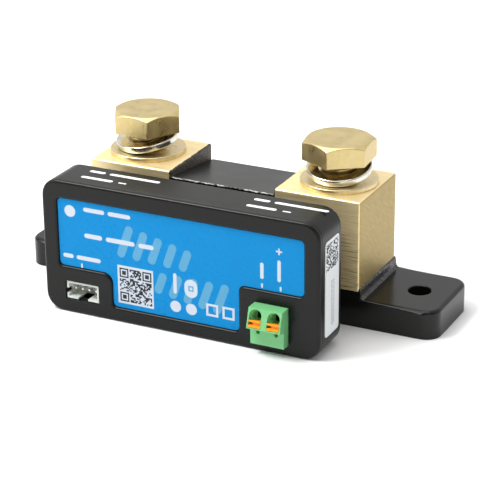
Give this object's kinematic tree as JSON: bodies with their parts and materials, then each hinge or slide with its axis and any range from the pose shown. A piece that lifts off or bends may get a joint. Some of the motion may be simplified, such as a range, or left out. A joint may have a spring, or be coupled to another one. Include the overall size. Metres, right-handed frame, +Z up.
{
  "type": "battery monitor shunt",
  "caption": "Battery monitor shunt: brass terminal blocks with bolts on a moulded base, and a flat electronics enclosure with a data socket and a sensor plug in front.",
  "frame": {"origin": "midway between the two mounting holes, on the underside of the base", "axes": "+X along the base towards the battery-side terminal, +Y towards the back, away from the enclosure, +Z up out of the mounting surface"},
  "size_m": [0.12, 0.0524, 0.0463],
  "materials": {
    "black_plastic": "satin moulded plastic, slightly rounded edges",
    "brass": "brushed, with fine lines along the length of each block",
    "washer_metal": "bright plated, slightly warm",
    "resistance_alloy": "rolled, dull copper colour",
    "steel": "zinc plated",
    "green_plastic": "satin, pale green",
    "orange_plastic": "satin",
    "ivory_plastic": "satin, off-white",
    "label_film": "printed film, smooth, blue with paler bars",
    "sticker_paper": "satin printed paper",
    "board": "solder-resist lacquer",
    "chip_plastic": "moulded epoxy",
    "tinned_metal": "tin plated",
    "metal_can": "drawn metal",
    "clear_plastic": "milky translucent plastic"
  },
  "bodies": {
    "root": {"base": "black_plastic", "block_left": "brass", "block_right": "brass", "strip_1": "resistance_alloy", "strip_2": "resistance_alloy", "strip_3": "resistance_alloy", "strip_4": "resistance_alloy", "centre_cover": "black_plastic", "block_screws": "steel", "enclosure_rear": "black_plastic", "enclosure_front": "black_plastic", "enclosure_screws": "steel", "front_label": "label_film", "side_sticker": "sticker_paper", "circuit_board": "board", "spacer_left": "brass", "spacer_right": "brass", "sense_screw_left": "steel", "sense_screw_right": "steel", "data_socket": "ivory_plastic", "data_pins": "tinned_metal", "plug_header": "green_plastic", "header_pins": "tinned_metal", "status_led_left": "clear_plastic", "status_led_right": "clear_plastic", "light_pipe_left": "clear_plastic", "light_pipe_right": "clear_plastic", "radio_module": "metal_can", "controller": "chip_plastic", "sense_amplifier": "chip_plastic", "regulator": "chip_plastic", "inductor": "chip_plastic", "capacitor_left": "metal_can", "capacitor_right": "metal_can"},
    "left_washers": {"flat_washer_left": "washer_metal", "spring_washer_left": "washer_metal"},
    "left_bolt": {"bolt_left": "brass"},
    "right_washers": {"flat_washer_right": "washer_metal", "spring_washer_right": "washer_metal"},
    "right_bolt": {"bolt_right": "brass"},
    "plug": {"plug_body": "green_plastic", "contact_left": "tinned_metal", "contact_right": "tinned_metal", "clamp_left": "steel", "clamp_right": "steel"},
    "left_lever": {"lever_left": "orange_plastic"},
    "right_lever": {"lever_right": "orange_plastic"}
  },
  "joints": [
    {"name": "left_bolt_lift", "type": "slide", "parent": "root", "child": "left_washers", "axis": [0, 0, 1], "range_m": [0, 0.018]},
    {"name": "left_bolt_turn", "type": "hinge", "parent": "left_washers", "child": "left_bolt", "pos_m": [-0.028, -0.0002, 0.0408], "axis": [0, 0, 1], "range_deg": [0, 4321]},
    {"name": "right_bolt_lift", "type": "slide", "parent": "root", "child": "right_washers", "axis": [0, 0, 1], "range_m": [0, 0.018]},
    {"name": "right_bolt_turn", "type": "hinge", "parent": "right_washers", "child": "right_bolt", "pos_m": [0.028, -0.0002, 0.0408], "axis": [0, 0, 1], "range_deg": [0, 4321]},
    {"name": "plug_pull", "type": "slide", "parent": "root", "child": "plug", "axis": [0, -1, 0], "range_m": [0, 0.008]},
    {"name": "left_lever_press", "type": "slide", "parent": "plug", "child": "left_lever", "axis": [0, 0.9541, -0.2993], "range_m": [0, 0.0012], "stiffness_N_per_m": 1500},
    {"name": "right_lever_press", "type": "slide", "parent": "plug", "child": "right_lever", "axis": [0, 0.9541, -0.2993], "range_m": [0, 0.0012], "stiffness_N_per_m": 1500}
  ],
  "couplings": [
    {"joint": "left_bolt_turn", "follows": "left_bolt_lift", "rad_per_m": 4188.8},
    {"joint": "right_bolt_turn", "follows": "right_bolt_lift", "rad_per_m": 4188.8}
  ]
}
